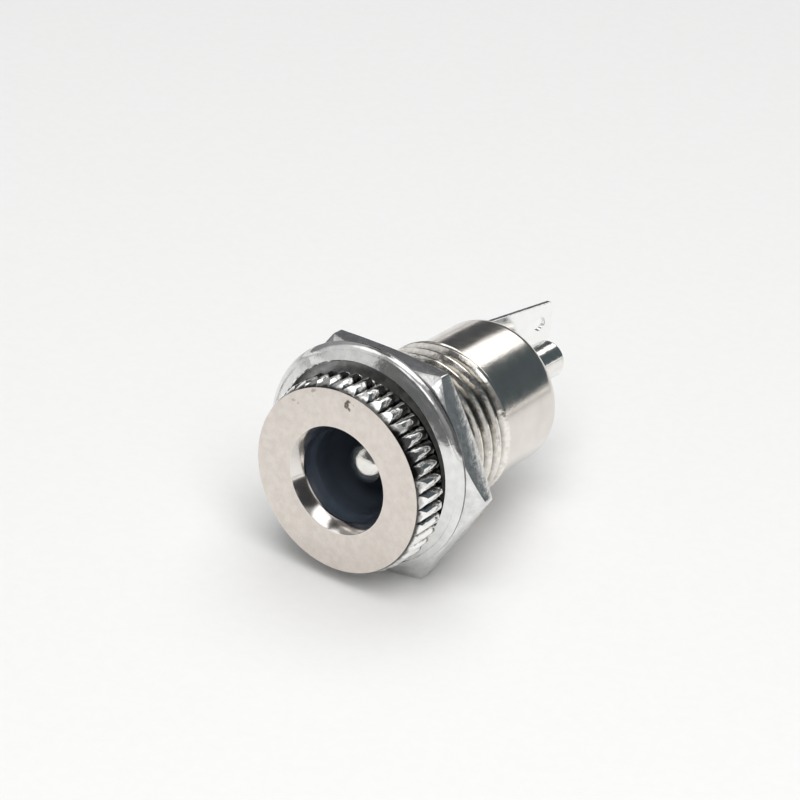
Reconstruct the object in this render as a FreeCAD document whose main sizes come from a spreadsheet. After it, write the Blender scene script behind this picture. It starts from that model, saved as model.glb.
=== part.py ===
"""DC barrel jack for a panel hole: a turned metal shell with a knurled head, its hex nut and
washer, two insulators, the centre pin and the folded sleeve contact.

The axis of the jack is Y, from the socket's mouth at the front (-Y) to the solder tails (+Y).
The origin lies on the axis, in the plane of the head's rear face, which seats on the panel.
"""

import FreeCAD, Part
import math
import os
import Sketcher

SIZES = (
    ("head_diameter", 13.2, "over the crests of the knurl"),
    ("head_length", 2.5, "from the front face to the seat on the panel"),
    ("face_diameter", 12.6, "flat front face"),
    ("face_chamfer_length", 0.9, "shallow cone from the face to the crests"),
    ("seat_chamfer", 0.1, "rear edge of the head"),
    ("knurl_teeth", 40, "teeth round the head"),
    ("knurl_depth", 0.27, "from crest to valley"),
    ("knurl_crest_width", 0.08, "land left on each crest"),
    ("knurl_turn", 2.9, "degrees from the top to the first valley, towards -X"),
    ("mouth_diameter", 7.4, "front of the polished cone"),
    ("mouth_depth", 0.83, "length of the polished cone"),
    ("lip_land", 0.12, "short bore behind the cone"),
    ("thread_diameter", 10.9, "over the thread's crests"),
    ("thread_length", 9.4, "from the seat to the thread's end"),
    ("thread_run_out", 0.3, "cone from the thread's crests down to the barrel"),
    ("barrel_diameter", 10.1, "smooth rear barrel"),
    ("barrel_length", 6.1, "from the thread's end to the rear face"),
    ("barrel_edge_radius", 0.94, "rounding of the rear edge"),
    ("shell_bore_diameter", 8.6, "bore that holds the insulators"),
    ("crimp_width", 0.3, "how far the rear edge is closed in over the rear insulator"),
    ("washer_diameter", 15.4, "outer edge of the washer"),
    ("washer_ring_width", 1.1, "from the washer's hole to its outer edge"),
    ("washer_thickness", 0.85, "between head and nut"),
    ("washer_round_width", 0.55, "width of the rounded front edge"),
    ("washer_round_height", 0.5, "height of the rounded front edge"),
    ("washer_round_radius", 0.8, "radius of the rounded front edge"),
    ("washer_rear_chamfer", 0.08, "rear edge of the washer"),
    ("washer_clearance", 0.5, "between the thread and the lower edge of the washer's hole"),
    ("nut_across_flats", 14.8, "over two flats"),
    ("nut_thickness", 2.15, "front to rear face"),
    ("nut_clearance", 0.05, "between the nut and the thread's crests"),
    ("nut_front_circle", 14.1, "where the front chamfer starts"),
    ("nut_front_chamfer", 1.1, "length of the front chamfer at a corner"),
    ("nut_rear_circle", 14.6, "where the rear chamfer starts"),
    ("nut_rear_chamfer", 0.28, "length of the rear chamfer at a corner"),
    ("nut_bore_chamfer", 0.35, "edge of the nut's bore, both sides"),
    ("lining_mouth_diameter", 6.4, "socket's mouth, at the lip"),
    ("lining_ring_length", 0.5, "closed ring of the lining at the mouth"),
    ("lining_taper_length", 0.4, "cone from the mouth down to the socket"),
    ("socket_diameter", 6.0, "socket behind the taper"),
    ("socket_floor_depth", 10.4, "from the front face to the socket's floor"),
    ("floor_thickness", 1.4, "floor of the lining"),
    ("plug_recess", 0.6, "from the shell's rear face in to the rear insulator"),
    ("boss_diameter", 4.2, "boss of the rear insulator, round the pin"),
    ("boss_clearance", 0.05, "between the boss and the contact's plate"),
    ("pin_diameter", 2.5, "front of the centre pin"),
    ("pin_tip_depth", 2.6, "from the front face to the pin's tip"),
    ("pin_dome_height", 0.7, "domed end of the pin"),
    ("pin_clearance", 0.02, "between the pin and its holes"),
    ("root_diameter", 3.2, "thicker root of the pin, from the socket's floor back"),
    ("root_seat_depth", 0.8, "root inside the rear insulator, behind the plate"),
    ("tail_diameter", 2.6, "rear of the centre pin"),
    ("tail_length", 6.1, "centre pin behind the shell's rear face"),
    ("tail_edge_radius", 0.2, "rounding of the tail's end"),
    ("sheet_thickness", 0.3, "sheet that the sleeve contact is folded from"),
    ("plate_clearance", 0.15, "between the contact's plate and the shell"),
    ("strip_height", 1.45, "middle of leaf and lug above the axis"),
    ("slot_clearance", 0.06, "round the leaf and the lug's neck"),
    ("leaf_width", 1.5, "spring leaf"),
    ("leaf_wall_clearance", 0.081, "between the leaf's corner and the shell's bore"),
    ("leaf_slope_length", 3.4, "part of the leaf that leans inwards"),
    ("nose_distance", 2.15, "from the axis to the leaf's nose"),
    ("nose_length", 0.4, "from the nose to the leaf's tip"),
    ("tip_distance", 2.6, "from the axis to the leaf's tip"),
    ("tip_clearance", 0.15, "between the leaf's tip and the lining's ring"),
    ("neck_wall_clearance", 0.115, "between the neck's corner and the shell's opening"),
    ("neck_width", 1.2, "lug's neck, in the rear insulator"),
    ("neck_length", 0.4, "neck behind the shell's rear face"),
    ("lug_bend_length", 2.0, "straight part of the lug behind the shell's rear face"),
    ("lug_width", 2.9, "solder lug"),
    ("lug_length", 8.5, "lug behind the shell's rear face"),
    ("lug_end_distance", 1.6, "from the axis to the lug's end"),
    ("lug_hole_diameter", 1.0, "hole for the wire"),
    ("lug_hole_inset", 1.15, "from the hole's middle to the lug's end"),
    ("lug_corner_radius", 0.35, "corners of the lug's end"),
    ("fold_radius", 0.2, "inner side of the folds in the sheet"),
)

SHEET_NAME = "Sizes"
OUTSIDE = 1.0
TOUCH = 0.001
FULL_TURN = 360.0
EDGE_SHARE = 0.9


class Size:
    """A size of the sheet, or one worked out from several: its number and its formula."""

    def __init__(self, number, formula):
        self.number = number
        self.formula = formula

    def __add__(self, other):
        other = as_size(other)
        return Size(self.number + other.number, "(%s + %s)" % (self.formula, other.formula))

    def __sub__(self, other):
        other = as_size(other)
        return Size(self.number - other.number, "(%s - %s)" % (self.formula, other.formula))

    def __mul__(self, other):
        other = as_size(other)
        return Size(self.number * other.number, "(%s * %s)" % (self.formula, other.formula))

    def __truediv__(self, other):
        other = as_size(other)
        return Size(self.number / other.number, "(%s / %s)" % (self.formula, other.formula))

    def __neg__(self):
        return Size(-self.number, "(-%s)" % self.formula)


def as_size(value):
    """Lets a bare number stand beside a size in a formula."""
    if isinstance(value, Size):
        return value
    return Size(float(value), "%.9f" % value)


def sine(angle):
    """The sine of an angle in degrees."""
    return Size(math.sin(math.radians(angle.number)), "sin(%s * 1deg)" % angle.formula)


def cosine(angle):
    """The cosine of an angle in degrees."""
    return Size(math.cos(math.radians(angle.number)), "cos(%s * 1deg)" % angle.formula)


def root(value):
    """The square root of a size."""
    return Size(math.sqrt(value.number), "sqrt(%s)" % value.formula)


def smaller(first, second):
    """The smaller of two sizes."""
    return Size(min(first.number, second.number), "min(%s; %s)" % (first.formula, second.formula))


ZERO = as_size(0)


def make_sheet(doc):
    """Writes the driving dimensions into the sheet, and gives them back by name."""
    sheet = doc.addObject("Spreadsheet::Sheet", SHEET_NAME)
    for row, (alias, value, note) in enumerate(SIZES, start=1):
        sheet.set("A%d" % row, alias)
        sheet.set("B%d" % row, str(value))
        sheet.setAlias("B%d" % row, alias)
        sheet.set("C%d" % row, note)
    doc.recompute()
    names = [alias for alias, value, note in SIZES]
    return {name: Size(float(sheet.get(name)), "%s.%s" % (SHEET_NAME, name)) for name in names}


def make_body(doc, label, place=(ZERO, ZERO, ZERO)):
    """A sub-part's body, moved to its place by formulas."""
    body = doc.addObject("PartDesign::Body", label)
    body.Label = label
    for letter, distance in zip("xyz", place):
        body.setExpression("Placement.Base." + letter, distance.formula)
    return body


def make_sketch(body, name, plane, lift=ZERO, turn=ZERO):
    """An empty sketch on one of the body's own origin planes, lifted along the plane's normal
    and turned about it by some degrees."""
    sketch = body.newObject("Sketcher::SketchObject", name)
    for feature in body.Origin.OriginFeatures:
        if feature.Role == plane:
            sketch.AttachmentSupport = [(feature, "")]
    sketch.MapMode = "FlatFace"
    sketch.setExpression("AttachmentOffset.Base.z", lift.formula)
    sketch.setExpression("AttachmentOffset.Rotation.Angle", turn.formula + " * 1deg")
    return sketch


def fix(sketch, kind, *where):
    """Adds a constraint whose size is the last item, bound to its formula."""
    size = where[-1]
    index = sketch.addConstraint(Sketcher.Constraint(kind, *where[:-1], size.number))
    sketch.setExpression("Constraints[%d]" % index, size.formula)


def add_arc(sketch, start, end, radius):
    """An arc that turns left from start to end."""
    chord = end - start
    middle = (start + end) / 2
    left = FreeCAD.Vector(-chord.y, chord.x, 0).normalize()
    centre = middle + left * math.sqrt(max(radius.number ** 2 - chord.Length ** 2 / 4, 0))
    circle = Part.Circle(centre, FreeCAD.Vector(0, 0, 1), radius.number)
    first = math.atan2(start.y - centre.y, start.x - centre.x)
    last = math.atan2(end.y - centre.y, end.x - centre.x)
    return sketch.addGeometry(Part.ArcOfCircle(circle, first, last))


def add_outline(sketch, corners):
    """A closed outline, counter-clockwise. A corner is (across, up), or (across, up, radius)
    where an arc of that radius leads to it."""
    points = [FreeCAD.Vector(corner[0].number, corner[1].number, 0) for corner in corners]
    edges = []
    for index, corner in enumerate(corners):
        start = points[index - 1]
        if len(corner) == 3:
            edges.append(add_arc(sketch, start, points[index], corner[2]))
        else:
            edges.append(sketch.addGeometry(Part.LineSegment(start, points[index])))
    for index, corner in enumerate(corners):
        following = edges[(index + 1) % len(edges)]
        sketch.addConstraint(Sketcher.Constraint("Coincident", edges[index], 2, following, 1))
        fix(sketch, "DistanceX", -1, 1, edges[index], 2, corner[0])
        fix(sketch, "DistanceY", -1, 1, edges[index], 2, corner[1])
        if len(corner) == 3:
            fix(sketch, "Radius", edges[index], corner[2])


def add_circle(sketch, diameter, across=ZERO, up=ZERO):
    """A circle of a given diameter round a point of the sketch."""
    centre = FreeCAD.Vector(across.number, up.number, 0)
    circle = sketch.addGeometry(Part.Circle(centre, FreeCAD.Vector(0, 0, 1), diameter.number / 2))
    fix(sketch, "DistanceX", -1, 1, circle, 3, across)
    fix(sketch, "DistanceY", -1, 1, circle, 3, up)
    fix(sketch, "Diameter", circle, diameter)


def revolve(body, name, corners, cut=False):
    """Turns an outline, given as (radius, length along the axis), round the jack's axis."""
    sketch = make_sketch(body, name + "Outline", "XY_Plane")
    add_outline(sketch, corners)
    kind = "PartDesign::Groove" if cut else "PartDesign::Revolution"
    feature = body.newObject(kind, name)
    feature.Profile = sketch
    feature.ReferenceAxis = (sketch, ["V_Axis"])
    feature.Angle = FULL_TURN
    body.Tip = feature
    if cut:
        check_cut(body, feature)
    return feature


def extrude(body, name, sketch, length, backwards=False):
    """Pads a sketch by a length, along its normal or against it."""
    feature = body.newObject("PartDesign::Pad", name)
    feature.Profile = sketch
    feature.setExpression("Length", length.formula)
    feature.Reversed = backwards
    body.Tip = feature
    return feature


def pocket(body, name, sketch, length, backwards=False):
    """Cuts a sketch into the body by a length, against its normal or along it."""
    feature = body.newObject("PartDesign::Pocket", name)
    feature.Profile = sketch
    feature.setExpression("Length", length.formula)
    feature.Reversed = backwards
    body.Tip = feature
    check_cut(body, feature)
    return feature


def check_cut(body, feature):
    """Stops the build if a cut has missed the solid."""
    body.Document.recompute()
    if not feature.Shape.Volume < feature.BaseFeature.Shape.Volume:
        raise RuntimeError("%s of %s cuts nothing" % (feature.Name, body.Label))


def opening_radius(size):
    """The opening at the back that the closed-in rear edge leaves."""
    return size["shell_bore_diameter"] / 2 - size["crimp_width"]


def make_housing(doc, size):
    """The shell, turned from one bar: knurled head, threaded barrel, smooth rear barrel, whose
    rear edge is closed in over the rear insulator."""
    body = make_body(doc, "housing")
    front = -size["head_length"]
    lip_back = front + size["mouth_depth"] + size["lip_land"]
    rear = size["thread_length"] + size["barrel_length"]
    head_radius = size["head_diameter"] / 2
    thread_radius = size["thread_diameter"] / 2
    barrel_radius = size["barrel_diameter"] / 2
    bore_radius = size["shell_bore_diameter"] / 2
    lip_radius = size["lining_mouth_diameter"] / 2
    opening = opening_radius(size)
    crimp_front = rear - size["plug_recess"]
    edge = smaller(size["barrel_edge_radius"], (barrel_radius - opening) * EDGE_SHARE)
    revolve(body, "Shell", (
        (size["mouth_diameter"] / 2, front),
        (size["face_diameter"] / 2, front),
        (head_radius, front + size["face_chamfer_length"]),
        (head_radius, -size["seat_chamfer"]),
        (head_radius - size["seat_chamfer"], ZERO),
        (thread_radius, ZERO),
        (thread_radius, size["thread_length"] - size["thread_run_out"]),
        (barrel_radius, size["thread_length"]),
        (barrel_radius, rear - edge),
        (barrel_radius - edge, rear, edge),
        (opening, rear),
        (opening, crimp_front),
        (bore_radius, crimp_front),
        (bore_radius, lip_back),
        (lip_radius, lip_back),
        (lip_radius, front + size["mouth_depth"]),
    ))
    cut_knurl(body, size)
    return body


def cut_knurl(body, size):
    """Straight V-grooves round the head, each as wide as a tooth's pitch less the crest's land."""
    head_radius = size["head_diameter"] / 2
    half_pitch = as_size(FULL_TURN / 2) / size["knurl_teeth"]
    half_land = size["knurl_crest_width"] / 2
    crest_across = head_radius * sine(half_pitch) - half_land
    crest_up = head_radius * cosine(half_pitch)
    valley_up = head_radius - size["knurl_depth"]
    slope = crest_across / (crest_up - valley_up)
    top = head_radius + OUTSIDE
    top_across = slope * (top - valley_up)
    sketch = make_sketch(body, "GrooveOutline", "XZ_Plane", size["head_length"], size["knurl_turn"])
    add_outline(sketch, (
        (ZERO, valley_up),
        (top_across, top),
        (-top_across, top),
    ))
    groove = pocket(body, "KnurlGroove", sketch, size["head_length"])
    knurl = body.newObject("PartDesign::PolarPattern", "Knurl")
    knurl.Originals = [groove]
    knurl.Axis = (sketch, ["N_Axis"])
    knurl.Angle = FULL_TURN
    knurl.setExpression("Occurrences", size["knurl_teeth"].formula)
    body.Tip = knurl
    check_cut(body, knurl)


def make_washer(doc, size):
    """A pressed washer with a rounded front edge. Its hole is wider than the thread, and the
    nut has clamped it off centre, so that a gap shows above the head."""
    outer = size["washer_diameter"] / 2
    hole_radius = outer - size["washer_ring_width"]
    lift = hole_radius - size["thread_diameter"] / 2 - size["washer_clearance"]
    body = make_body(doc, "washer", (ZERO, ZERO, lift))
    rounding = smaller(size["washer_round_width"], size["washer_ring_width"] * EDGE_SHARE)
    chamfer = size["washer_rear_chamfer"]
    back = size["washer_thickness"]
    revolve(body, "Disc", (
        (hole_radius, ZERO),
        (outer - rounding, ZERO),
        (outer, size["washer_round_height"], size["washer_round_radius"]),
        (outer, back - chamfer),
        (outer - chamfer, back),
        (hole_radius, back),
    ))
    return body


def make_hex_nut(doc, size):
    """The panel nut, deeply chamfered at the front and lightly at the back."""
    body = make_body(doc, "hex_nut", (ZERO, size["washer_thickness"], ZERO))
    half_flats = size["nut_across_flats"] / 2
    corner = size["nut_across_flats"] / math.sqrt(3)
    thickness = size["nut_thickness"]
    bore = size["thread_diameter"] + size["nut_clearance"] * 2
    sketch = make_sketch(body, "Hexagon", "XZ_Plane")
    add_outline(sketch, (
        (corner, ZERO),
        (corner / 2, half_flats),
        (-corner / 2, half_flats),
        (-corner, ZERO),
        (-corner / 2, -half_flats),
        (corner / 2, -half_flats),
    ))
    add_circle(sketch, bore)
    extrude(body, "Prism", sketch, thickness, backwards=True)

    reach = corner + OUTSIDE
    front_circle = size["nut_front_circle"] / 2
    front_rise = size["nut_front_chamfer"] * (reach - front_circle) / (corner - front_circle)
    revolve(body, "FrontChamfer", (
        (front_circle, ZERO),
        (reach, ZERO),
        (reach, front_rise),
    ), cut=True)
    rear_circle = size["nut_rear_circle"] / 2
    rear_rise = size["nut_rear_chamfer"] * (reach - rear_circle) / (corner - rear_circle)
    revolve(body, "RearChamfer", (
        (rear_circle, thickness),
        (reach, thickness - rear_rise),
        (reach, thickness),
    ), cut=True)

    edge = size["nut_bore_chamfer"]
    inner = bore / 2
    revolve(body, "FrontBoreEdge", (
        (inner - edge, ZERO),
        (inner + edge, ZERO),
        (inner - edge, edge * 2),
    ), cut=True)
    revolve(body, "RearBoreEdge", (
        (inner - edge, thickness - edge * 2),
        (inner + edge, thickness),
        (inner - edge, thickness),
    ), cut=True)
    return body


def lining_length(size):
    """The front insulator's length, from the shell's lip to the back of the socket's floor."""
    floor_back = size["socket_floor_depth"] + size["floor_thickness"]
    return floor_back - size["mouth_depth"] - size["lip_land"]


def plate_front(size):
    """Where the contact's plate lies: behind the socket's floor."""
    return size["socket_floor_depth"] + size["floor_thickness"] - size["head_length"]


def strip_distance(size, width, corner_radius):
    """How far from the axis the inner side of a strip of the contact lies, so that the strip's
    outer corner lies on a radius."""
    corner_up = size["strip_height"] + width / 2
    return root(corner_radius * corner_radius - corner_up * corner_up) - size["sheet_thickness"]


def leaf_distance(size):
    """From the axis to the leaf's inner side, where the leaf runs straight."""
    corner_radius = size["shell_bore_diameter"] / 2 - size["leaf_wall_clearance"]
    return strip_distance(size, size["leaf_width"], corner_radius)


def neck_distance(size):
    """From the axis to the inner side of the lug's neck."""
    corner_radius = opening_radius(size) - size["neck_wall_clearance"]
    return strip_distance(size, size["neck_width"], corner_radius)


def make_front_insulator(doc, size):
    """The dark lining of the socket, with a slot for the spring leaf and a floor."""
    front = size["mouth_depth"] + size["lip_land"] - size["head_length"]
    body = make_body(doc, "front_insulator", (ZERO, front, ZERO))
    length = lining_length(size)
    ring = size["lining_ring_length"]
    outer = size["shell_bore_diameter"] / 2
    hole = size["root_diameter"] / 2 + size["pin_clearance"]
    floor_front = length - size["floor_thickness"]
    revolve(body, "Lining", (
        (size["lining_mouth_diameter"] / 2, ZERO),
        (outer, ZERO),
        (outer, length),
        (hole, length),
        (hole, floor_front),
        (size["socket_diameter"] / 2, floor_front),
        (size["socket_diameter"] / 2, ring + size["lining_taper_length"]),
        (size["lining_mouth_diameter"] / 2, ring),
    ))
    half_slot = size["leaf_width"] / 2 + size["slot_clearance"]
    near = size["nose_distance"] - size["slot_clearance"]
    far = outer + OUTSIDE
    sketch = make_sketch(body, "SlotOutline", "XZ_Plane", -ring)
    add_outline(sketch, (
        (near, size["strip_height"] - half_slot),
        (far, size["strip_height"] - half_slot),
        (far, size["strip_height"] + half_slot),
        (near, size["strip_height"] + half_slot),
    ))
    pocket(body, "LeafSlot", sketch, length)
    return body


def make_rear_insulator(doc, size):
    """The plug at the back, whose boss keeps the pin clear of the contact's plate."""
    sheet = size["sheet_thickness"]
    front = plate_front(size) + sheet
    body = make_body(doc, "rear_insulator", (ZERO, front, ZERO))
    rear = size["thread_length"] + size["barrel_length"] - size["plug_recess"] - front
    outer = size["shell_bore_diameter"] / 2
    hole = size["tail_diameter"] / 2 + size["pin_clearance"]
    root_hole = size["root_diameter"] / 2 + size["pin_clearance"]
    boss = size["boss_diameter"] / 2
    revolve(body, "Plug", (
        (root_hole, -sheet),
        (boss, -sheet),
        (boss, ZERO),
        (outer, ZERO),
        (outer, rear),
        (hole, rear),
        (hole, size["root_seat_depth"]),
        (root_hole, size["root_seat_depth"]),
    ))
    gap = size["slot_clearance"]
    half_slot = size["neck_width"] / 2 + gap
    near = -(neck_distance(size) - gap)
    far = -(neck_distance(size) + sheet + gap)
    sketch = make_sketch(body, "SlotOutline", "XZ_Plane")
    add_outline(sketch, (
        (far, size["strip_height"] - half_slot),
        (near, size["strip_height"] - half_slot),
        (near, size["strip_height"] + half_slot),
        (far, size["strip_height"] + half_slot),
    ))
    pocket(body, "NeckSlot", sketch, rear)
    return body


def make_centre_pin(doc, size):
    """The centre pin and its solder tail, turned as one piece, with a domed front end and a
    thicker root, which the socket's floor and the rear insulator hold."""
    tip = size["pin_tip_depth"] - size["head_length"]
    body = make_body(doc, "centre_pin", (ZERO, tip, ZERO))
    pin = size["pin_diameter"] / 2
    root = size["root_diameter"] / 2
    tail = size["tail_diameter"] / 2
    dome = size["pin_dome_height"]
    dome_radius = (pin * pin + dome * dome) / (dome * 2)
    root_front = size["socket_floor_depth"] - size["pin_tip_depth"]
    root_back = plate_front(size) + size["sheet_thickness"] + size["root_seat_depth"] - tip
    end = size["thread_length"] + size["barrel_length"] + size["tail_length"] - tip
    edge = size["tail_edge_radius"]
    revolve(body, "Pin", (
        (ZERO, ZERO),
        (pin, dome, dome_radius),
        (pin, root_front),
        (root, root_front),
        (root, root_back),
        (tail, root_back),
        (tail, end - edge),
        (tail - edge, end, edge),
        (ZERO, end),
    ))
    return body


def make_sleeve_contact(doc, size):
    """The sleeve contact, folded from one sheet: a plate round the pin between the insulators,
    a sprung leaf that reaches forward into the socket, and the solder lug at the back."""
    body = make_body(doc, "sleeve_contact", (ZERO, plate_front(size), ZERO))
    sheet = size["sheet_thickness"]
    disc = make_sketch(body, "PlateOutline", "XZ_Plane")
    add_circle(disc, size["shell_bore_diameter"] - size["plate_clearance"] * 2)
    add_circle(disc, size["boss_diameter"] + size["boss_clearance"] * 2)
    extrude(body, "Plate", disc, sheet, backwards=True)
    add_leaf(body, size)
    add_lug(body, size)
    return body


def add_leaf(body, size):
    """The leaf's side view, drawn beside the axis and padded by its width."""
    sheet = size["sheet_thickness"]
    tip = -(lining_length(size) - size["lining_ring_length"] - size["tip_clearance"])
    nose = tip + size["nose_length"]
    bend = nose + size["leaf_slope_length"]
    straight = leaf_distance(size)
    lift = size["strip_height"] - size["leaf_width"] / 2
    sketch = make_sketch(body, "LeafOutline", "XY_Plane", lift)
    add_outline(sketch, (
        (size["tip_distance"], tip),
        (size["tip_distance"] + sheet, tip),
        (size["nose_distance"] + sheet, nose),
        (straight + sheet, bend),
        (straight + sheet, sheet),
        (straight, sheet),
        (straight, bend),
        (size["nose_distance"], nose),
    ))
    extrude(body, "Leaf", sketch, size["leaf_width"])
    inner = size["fold_radius"]
    outer = inner + sheet
    round_folds(body, "LeafFoldInner", inner, ((straight, bend), (size["nose_distance"] + sheet, nose)))
    round_folds(body, "LeafFoldOuter", outer, ((straight + sheet, bend), (size["nose_distance"], nose)))


def add_lug(body, size):
    """The lug: straight out through the rear insulator, then leaning in towards the pin's tail."""
    sheet = size["sheet_thickness"]
    straight = neck_distance(size)
    shell_rear = size["thread_length"] + size["barrel_length"] - plate_front(size)
    neck_end = shell_rear + size["neck_length"]
    bend = shell_rear + size["lug_bend_length"]
    end = shell_rear + size["lug_length"]
    lift = size["strip_height"] - size["lug_width"] / 2
    side = make_sketch(body, "LugSideOutline", "XY_Plane", lift)
    add_outline(side, (
        (-(straight + sheet), sheet),
        (-straight, sheet),
        (-straight, bend),
        (-size["lug_end_distance"], end),
        (-(size["lug_end_distance"] + sheet), end),
        (-(straight + sheet), bend),
    ))
    extrude(body, "Lug", side, size["lug_width"])
    inner = size["fold_radius"]
    round_folds(body, "LugFoldInner", inner, ((-straight, bend),))
    round_folds(body, "LugFoldOuter", inner + sheet, ((-(straight + sheet), bend),))

    half_neck = size["neck_width"] / 2
    half_lug = size["lug_width"] / 2
    middle = size["strip_height"]
    depth = straight + sheet + OUTSIDE
    start = sheet
    for name, near, far in (
        ("NeckLower", middle - half_lug - OUTSIDE, middle - half_neck),
        ("NeckUpper", middle + half_neck, middle + half_lug + OUTSIDE),
    ):
        sketch = make_sketch(body, name + "Outline", "YZ_Plane")
        add_outline(sketch, (
            (start, near),
            (neck_end, near),
            (neck_end, far),
            (start, far),
        ))
        pocket(body, name, sketch, depth)

    hole = make_sketch(body, "LugHoleOutline", "YZ_Plane")
    add_circle(hole, size["lug_hole_diameter"], end - size["lug_hole_inset"], middle)
    pocket(body, "LugHole", hole, depth)
    round_corners(body, "LugCorners", size["lug_corner_radius"], end.number)


def round_edges(body, name, radius, wanted):
    """Rounds the straight edges whose two ends the function wanted takes."""
    base = body.Tip
    body.Document.recompute()
    picked = []
    for number, edge in enumerate(base.Shape.Edges, start=1):
        ends = [vertex.Point for vertex in edge.Vertexes]
        if len(ends) == 2 and wanted(*ends):
            picked.append("Edge%d" % number)
    feature = body.newObject("PartDesign::Fillet", name)
    feature.Base = (base, picked)
    feature.setExpression("Radius", radius.formula)
    body.Tip = feature


def round_corners(body, name, radius, along):
    """Rounds the two short edges across the sheet, at one distance along the jack's axis."""
    def wanted(first, second):
        at_end = max(abs(first.y - along), abs(second.y - along)) < TOUCH
        return at_end and abs(first.z - second.z) < TOUCH

    round_edges(body, name, radius, wanted)
    check_cut(body, body.Tip)


def round_folds(body, name, radius, places):
    """Rounds the upright edges at the given places, each as (across, along the axis)."""
    def wanted(first, second):
        upright = abs(first.x - second.x) < TOUCH and abs(first.y - second.y) < TOUCH
        near = [math.hypot(first.x - across.number, first.y - along.number) for across, along in places]
        return upright and min(near) < TOUCH

    round_edges(body, name, radius, wanted)


def check_and_write(doc, bodies):
    """Stops on any failed object, and writes each sub-part to its own file."""
    doc.recompute()
    for item in doc.Objects:
        if "Invalid" in item.State or "Error" in item.State:
            raise RuntimeError("%s failed: %s" % (item.Label, item.State))
    os.makedirs("parts", exist_ok=True)
    for body in bodies:
        shape = body.Shape
        if shape.isNull() or not shape.isValid() or len(shape.Solids) != 1:
            raise RuntimeError("%s isn't one valid solid" % body.Label)
        shape.exportStep("parts/%s.step" % body.Label)
        print("%s volume %.3f mm3" % (body.Label, shape.Volume))


def main():
    doc = FreeCAD.newDocument("dc_barrel_jack")
    size = make_sheet(doc)
    makers = (
        make_housing,
        make_washer,
        make_hex_nut,
        make_front_insulator,
        make_rear_insulator,
        make_centre_pin,
        make_sleeve_contact,
    )
    bodies = [make(doc, size) for make in makers]
    check_and_write(doc, bodies)


main()
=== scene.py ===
"""The looks of a panel-mount DC barrel jack: finely meshed metal pieces with a real thread and
knurl, their materials, a pale floor, soft light and the camera.

Lengths below are in millimetres and angles in degrees; MM turns them into Blender's metres.
The jack's axis is Y. An angle round it is 0 towards +X and 90 towards +Z.
"""

import math
import random

import bmesh
import bpy
from mathutils import Matrix, Vector


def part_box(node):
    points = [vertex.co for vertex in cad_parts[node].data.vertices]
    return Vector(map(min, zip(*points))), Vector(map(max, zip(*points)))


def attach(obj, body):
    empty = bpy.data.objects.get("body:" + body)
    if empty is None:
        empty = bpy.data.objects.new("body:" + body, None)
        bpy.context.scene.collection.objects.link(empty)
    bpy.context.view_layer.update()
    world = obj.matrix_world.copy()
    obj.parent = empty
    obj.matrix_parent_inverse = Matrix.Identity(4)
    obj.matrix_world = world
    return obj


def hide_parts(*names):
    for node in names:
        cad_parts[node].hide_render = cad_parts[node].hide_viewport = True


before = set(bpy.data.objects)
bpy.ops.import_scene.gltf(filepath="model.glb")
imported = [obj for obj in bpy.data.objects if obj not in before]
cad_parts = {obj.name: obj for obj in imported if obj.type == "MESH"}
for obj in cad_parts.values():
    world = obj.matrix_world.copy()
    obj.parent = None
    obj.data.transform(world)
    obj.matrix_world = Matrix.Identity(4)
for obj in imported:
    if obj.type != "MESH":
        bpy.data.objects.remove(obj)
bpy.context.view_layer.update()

MM = 0.001
BODY = "root"
SEED = 7

# Meshes. MERGE is in metres. A rounding takes at most LARGEST_SHARE of each side of its corner.
MERGE = 1e-7
SHARP_ANGLE = 18.0
SAME_PLANE_ANGLE = 0.5
CORNER_STEPS = 2
CORNER_POINTS = CORNER_STEPS + 1
LARGEST_SHARE = 0.45
TURNED_STEPS = 256
ARC_STEPS = 12
EDGE = 0.04
FINE_EDGE = 0.03
BOX_MARGIN = 0.001

# The shell's head, from the lip of its mouth to the seat on the panel. Its stations are shares
# of the knurl's length.
HEAD_RADIUS = 6.6
HEAD_STATIONS = (0.3, 0.65)
FACE_RADIUS = 6.3
FACE_Y = -2.5
FACE_EDGE = 0.012
CONE_LENGTH = 0.9
FACE_MARGIN = 0.01
MOUTH_RADIUS = 3.7
MOUTH_EDGE = 0.03
LIP_RADIUS = 3.2
LIP_FRONT_Y = -1.67
LIP_BACK_Y = -1.55
LIP_EDGE = 0.02
SEAT_CHAMFER = 0.1

# The knurl. Its stations are shares of the way from the middle of a valley to that of a crest,
# and the crest's place is the one beside a valley that points up.
TEETH = 40
FIRST_VALLEY = 2.9
VALLEY_RADIUS = 6.33
VALLEY_PLAY = 0.02
CREST_ACROSS = 0.4778
CREST_UP = 6.5797
CREST_WEAR = 0.03
TOOTH_BULGE = 1.6
TOOTH_STATIONS = (0.07, 0.25, 0.45, 0.65, 0.85, 1.0)

# The thread. Shares are of its pitch: half the flat crest, one flank, and the way from the
# middle of a crest to where the root gets a little deeper.
THREAD_RADIUS = 5.45
THREAD_DEPTH = 0.56
THREAD_PITCH = 1.0
THREAD_END_Y = 9.1
THREAD_FADE = 0.7
CREST_SHARE = 0.0625
FLANK_SHARE = 0.3125
ROOT_SHARE = 0.45
ROOT_EXTRA_DEPTH = 0.05

# The shell's barrel. The ring keeps the shading of the rounded end off the rest of it.
BARREL_RADIUS = 5.05
BARREL_Y = 9.4
BARREL_RING_LENGTH = 2.5
REAR_Y = 15.5
REAR_ROUNDING = 0.94
OPENING_RADIUS = 4.0
CRIMP_LENGTH = 0.6
BORE_RADIUS = 4.3

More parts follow.
